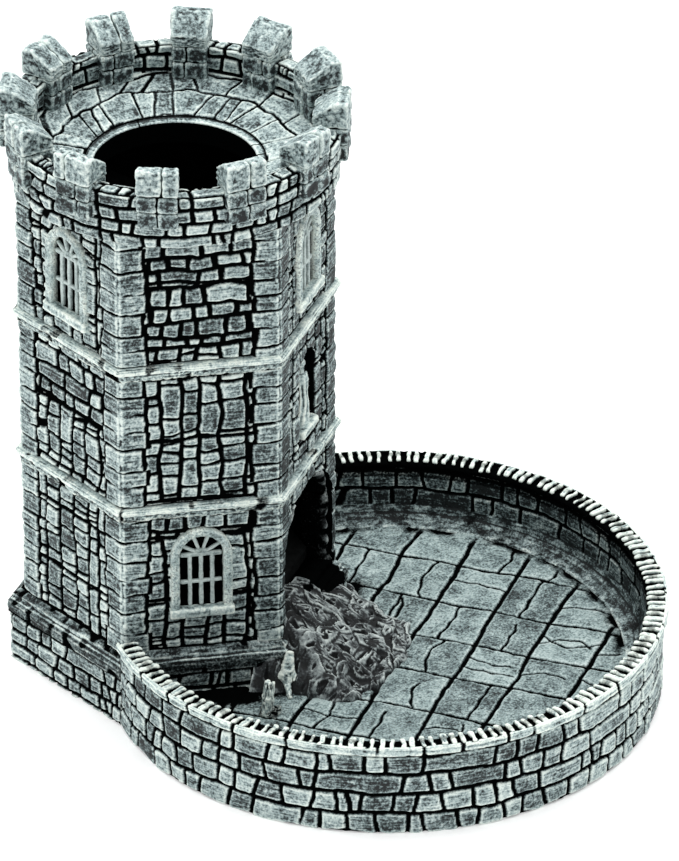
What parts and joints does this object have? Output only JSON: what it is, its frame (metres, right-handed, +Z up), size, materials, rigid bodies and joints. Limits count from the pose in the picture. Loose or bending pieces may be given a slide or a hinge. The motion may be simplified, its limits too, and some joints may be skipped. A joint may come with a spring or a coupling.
{
  "type": "dice tower",
  "caption": "Castle-shaped dice tower: hexagonal stone-pattern tower with a battlemented crown, drop hole, internal baffles, exit arch and a round walled catch tray.",
  "frame": {"origin": "centre of the overall bounding box at table level", "axes": "+X from the tower to the tray, the way the dice leave; +Z up; +Y completes a right-handed frame"},
  "size_m": [0.201, 0.1686, 0.19],
  "materials": {
    "stone": "matte, painted cast resin with black wash and pale dry-brushing",
    "pale_stone": "matte, strongly dry-brushed edges",
    "dark_stone": "matte, black wash with pale ridges",
    "flagstone": "matte, bluish grey",
    "shadow_stone": "matte, painted near black"
  },
  "bodies": {
    "root": {"plinth": "stone", "wall_lower": "stone", "course_lower": "pale_stone", "wall_middle": "stone", "course_upper": "pale_stone", "wall_upper": "stone", "niche_statue": "dark_stone", "exit_arch": "dark_stone", "exit_ramp": "shadow_stone", "baffle_lower": "shadow_stone", "baffle_upper": "shadow_stone", "window_frame_lower_front": "pale_stone", "window_grille_lower_front": "dark_stone", "window_frame_lower_back": "pale_stone", "window_grille_lower_back": "dark_stone", "window_frame_lower_rear": "pale_stone", "window_grille_lower_rear": "dark_stone", "window_frame_upper_exit": "pale_stone", "window_grille_upper_exit": "dark_stone", "window_frame_upper_front": "pale_stone", "window_grille_upper_front": "dark_stone", "window_frame_upper_back": "pale_stone", "window_grille_upper_back": "dark_stone", "parapet": "stone", "crown_deck": "stone", "merlon_01": "stone", "merlon_02": "stone", "merlon_03": "stone", "merlon_04": "stone", "merlon_05": "stone", "merlon_06": "stone", "merlon_07": "stone", "merlon_08": "stone", "merlon_09": "stone", "merlon_10": "stone", "merlon_11": "stone", "merlon_12": "stone", "tray_floor": "flagstone", "tray_wall": "stone", "tray_coping": "pale_stone", "rubble_apron": "dark_stone", "standing_stone": "dark_stone"}
  },
  "joints": []
}
